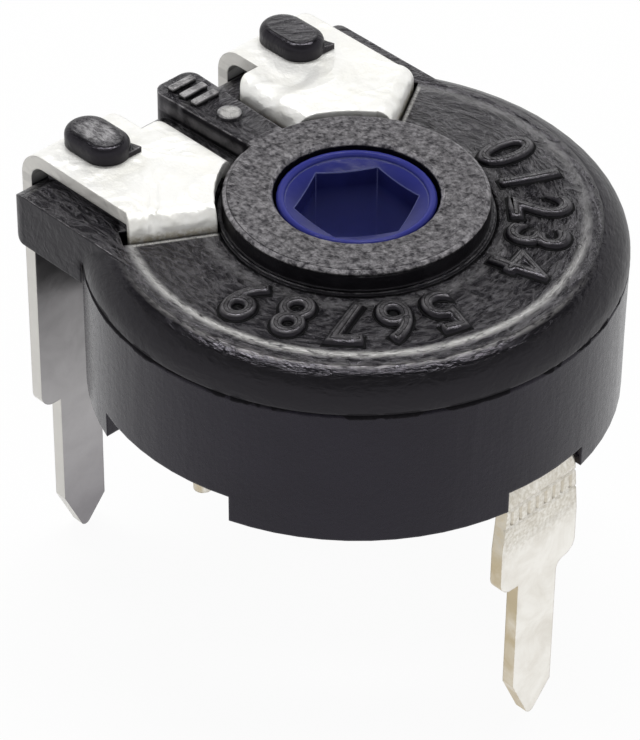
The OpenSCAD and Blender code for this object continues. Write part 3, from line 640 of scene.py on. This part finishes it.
def raised_text(name, word, height, spread, thick):
    """A numeral as a closed mesh, centred, with its foot on z = 0; sizes in mm."""
    capital_share = 0.7
    curve = bpy.data.curves.new(name, "FONT")
    curve.body = word
    curve.align_x = "CENTER"
    curve.align_y = "CENTER"
    curve.size = height / capital_share * MM
    curve.offset = spread * MM
    curve.bevel_depth = thick * MM
    curve.bevel_resolution = 4
    curve.resolution_u = 6
    text = bpy.data.objects.new(name, curve)
    bpy.context.scene.collection.objects.link(text)
    graph = bpy.context.evaluated_depsgraph_get()
    mesh = bpy.data.meshes.new_from_object(text.evaluated_get(graph))
    bpy.data.objects.remove(text)
    xs = [v.co.x for v in mesh.vertices]
    ys = [v.co.y for v in mesh.vertices]
    mesh.transform(Matrix.Translation((-(min(xs) + max(xs)) / 2, -(min(ys) + max(ys)) / 2, 0)))
    return mesh


def joined(name, parts):
    """One mesh object from several meshes, each with its own place."""
    whole = bmesh.new()
    for mesh, matrix in parts:
        mesh.transform(matrix)
        whole.from_mesh(mesh)
        bpy.data.meshes.remove(mesh)
    bmesh.ops.remove_doubles(whole, verts=whole.verts, dist=1e-7)
    bmesh.ops.recalc_face_normals(whole, faces=whole.faces)
    mesh = bpy.data.meshes.new(name)
    whole.to_mesh(mesh)
    whole.free()
    made = bpy.data.objects.new(name, mesh)
    bpy.context.scene.collection.objects.link(made)
    return made


numeral_radius = 3.4
numeral_height = 1.1
numeral_narrowing = 0.86
numeral_flattening = 0.95
shade_sheet_flattening = 0.5
angles = [80, 64, 48, 32.5, 17.5, -17.5, -32.5, -48, -64, -80]
parts = []
standing = []
for value, angle in enumerate(angles):
    turned = Matrix.Rotation(math.radians(angle), 4, "Z")
    moved = Matrix.Translation((numeral_radius * MM, 0, flat_z * MM))
    flattened = Matrix.Scale(numeral_flattening, 4, (0, 0, 1))
    upright = Matrix.Rotation(math.radians(-90), 4, "Z") @ Matrix.Scale(numeral_narrowing, 4, (1, 0, 0))
    standing.append(turned @ moved @ flattened @ upright)
    numeral = raised_text("numeral", str(value), numeral_height, spread=-0.045, thick=0.11)
    parts.append((numeral, standing[-1]))
numbers = joined("dial_numbers", parts)
numbers.data.materials.append(cover_plastic)
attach(numbers, "housing")

# Round each numeral's foot lies a thin near-black sheet, a little wider than the numeral: painted shade
# where the numeral meets the top.
numeral_shade_black, tree, shader, place = material("painted_shade_round_numerals")
grain = noise(tree, place, 12, 4)
body = tint(tree, ramp(tree, grain, 0.35, 0.65), (0.001, 0.001, 0.0014), (0.0025, 0.0023, 0.003))
tree.links.new(body, shader.inputs["Base Color"])
tree.links.new(ramp(tree, grain, 0.3, 0.7, 0.45, 0.65), shader.inputs["Roughness"])
shader.inputs["Specular IOR Level"].default_value = 0.08
tree.links.new(bump(tree, soft_edges(tree, 0.01)[0], grain, 0.01), shader.inputs["Normal"])

parts = []
for value, stands in enumerate(standing):
    shade_sheet = raised_text("shade_sheet", str(value), numeral_height, spread=0.07, thick=0.03)
    parts.append((shade_sheet, stands @ Matrix.Scale(shade_sheet_flattening, 4, (0, 0, 1))))
numeral_shades = joined("numeral_shade_sheets", parts)
numeral_shades.data.materials.append(numeral_shade_black)
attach(numeral_shades, "housing")

# ---- Ribs on the bar ---------------------------------------------------------------
# Three short ribs stand on the bar's free end, in front of its round pip, as a
# plain mark of the middle between the two terminals.

bar_z = collar_z - 0.02
rib_count = 3
rib_pitch = 0.32
rib_width, rib_length, rib_height = 0.16, 0.6, 0.16
first_rib_x = -4.74
rib_row = bpy.data.node_groups.new("rib_row", "GeometryNodeTree")
rib_row.interface.new_socket("Geometry", in_out="OUTPUT", socket_type="NodeSocketGeometry")
keys = {}
for label, kind in (
    ("Count", "NodeSocketInt"),
    ("Pitch", "NodeSocketFloat"),
    ("Rib Size", "NodeSocketVector"),
    ("First Rib", "NodeSocketVector"),
    ("Material", "NodeSocketMaterial"),
):
    keys[label] = rib_row.interface.new_socket(label, in_out="INPUT", socket_type=kind).identifier
given = rib_row.nodes.new("NodeGroupInput")
step = rib_row.nodes.new("ShaderNodeCombineXYZ")
line = rib_row.nodes.new("GeometryNodeMeshLine")
block = rib_row.nodes.new("GeometryNodeMeshCube")
rounded = rib_row.nodes.new("GeometryNodeSubdivisionSurface")
rounded.inputs["Level"].default_value = 3
rounded.inputs["Edge Crease"].default_value = 0.6
placed = rib_row.nodes.new("GeometryNodeInstanceOnPoints")
real = rib_row.nodes.new("GeometryNodeRealizeInstances")
finish = rib_row.nodes.new("GeometryNodeSetMaterial")
result = rib_row.nodes.new("NodeGroupOutput")
for start, end in (
    (given.outputs["Count"], line.inputs["Count"]),
    (given.outputs["Pitch"], step.inputs["X"]),
    (step.outputs[0], line.inputs["Offset"]),
    (given.outputs["First Rib"], line.inputs["Start Location"]),
    (given.outputs["Rib Size"], block.inputs["Size"]),
    (block.outputs["Mesh"], rounded.inputs["Mesh"]),
    (line.outputs["Mesh"], placed.inputs["Points"]),
    (rounded.outputs["Mesh"], placed.inputs["Instance"]),
    (placed.outputs["Instances"], real.inputs["Geometry"]),
    (real.outputs["Geometry"], finish.inputs["Geometry"]),
    (given.outputs["Material"], finish.inputs["Material"]),
    (finish.outputs["Geometry"], result.inputs["Geometry"]),
):
    rib_row.links.new(start, end)
ribs = bpy.data.objects.new("bar_ribs", bpy.data.meshes.new("bar_ribs"))
bpy.context.scene.collection.objects.link(ribs)
row = ribs.modifiers.new("rib_row", "NODES")
row.node_group = rib_row
row[keys["Count"]] = rib_count
row[keys["Pitch"]] = rib_pitch * MM
row[keys["Rib Size"]] = (rib_width * MM, rib_length * MM, rib_height * MM)
row[keys["First Rib"]] = (first_rib_x * MM, 0, (bar_z + 0.01) * MM)
row[keys["Material"]] = cover_plastic
graph = bpy.context.evaluated_depsgraph_get()
baked = bpy.data.meshes.new_from_object(ribs.evaluated_get(graph))
ribs.modifiers.clear()
ribs.data = baked
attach(ribs, "housing")

# ---- End terminals ---------------------------------------------------------------
# The two outer terminals are pressed flat on pads of the cover, folded down
# behind it as legs and into its slots in front. Pressing has crumpled their tin.

end_tin, tree, shader, place, edge, dull, pits = tinned("crumpled_tin", 0.19, 0.8, flat_z - 0.1)
across, deep, high = split_up(tree, place)
towards = facing(tree)
towards_x, towards_y = towards[0], towards[1]
body = tint(tree, ramp(tree, dull, 0.42, 0.68), (0.95, 0.945, 0.915), (0.85, 0.84, 0.79))
cut = ramp(tree, size_of(tree, towards_y), 0.8, 0.93)
cut = product(tree, cut, ramp(tree, size_of(tree, deep), 1.2, 1.4))
body = tint(tree, cut, body, (0.66, 0.645, 0.61))

# Behind, the legs' outer faces are plain tin. Their inner faces carry the dark
# housing's mirror image as a colour, darkest at the top and lighter down to the pins.
legs = ramp(tree, high, flat_z + 0.1, flat_z - 0.3)
legs = product(tree, legs, ramp(tree, size_of(tree, towards_x), 0.5, 0.8))
body = tint(tree, legs, body, (0.74, 0.73, 0.715))
low = tint(tree, ramp(tree, high, -3, 5), (0.56, 0.545, 0.55), (0.05, 0.048, 0.051))
low = tint(tree, ramp(tree, high, 0, -3), low, (0.26, 0.25, 0.26))
inner = product(tree, legs, ramp(tree, towards_x, -0.2, 0.2))
body = tint(tree, inner, body, low)
tree.links.new(ramp(tree, legs, 0, 1, 0.4, 1), shader.inputs["Metallic"])

stain = product(tree, ramp(tree, high, plate_z - 0.28, plate_z - 0.42), ramp(tree, pits, 0.4, 0.6, 0.2, 0.9))
stain = product(tree, stain, ramp(tree, across, -4.6, -4.2))
body = tint(tree, stain, body, (0.45, 0.4, 0.3))
tree.links.new(body, shader.inputs["Base Color"])
tree.links.new(ramp(tree, dull, 0.35, 0.7, 0.36, 0.55), shader.inputs["Roughness"])
dress("end_terminal_left", end_tin)
dress("end_terminal_right", end_tin)
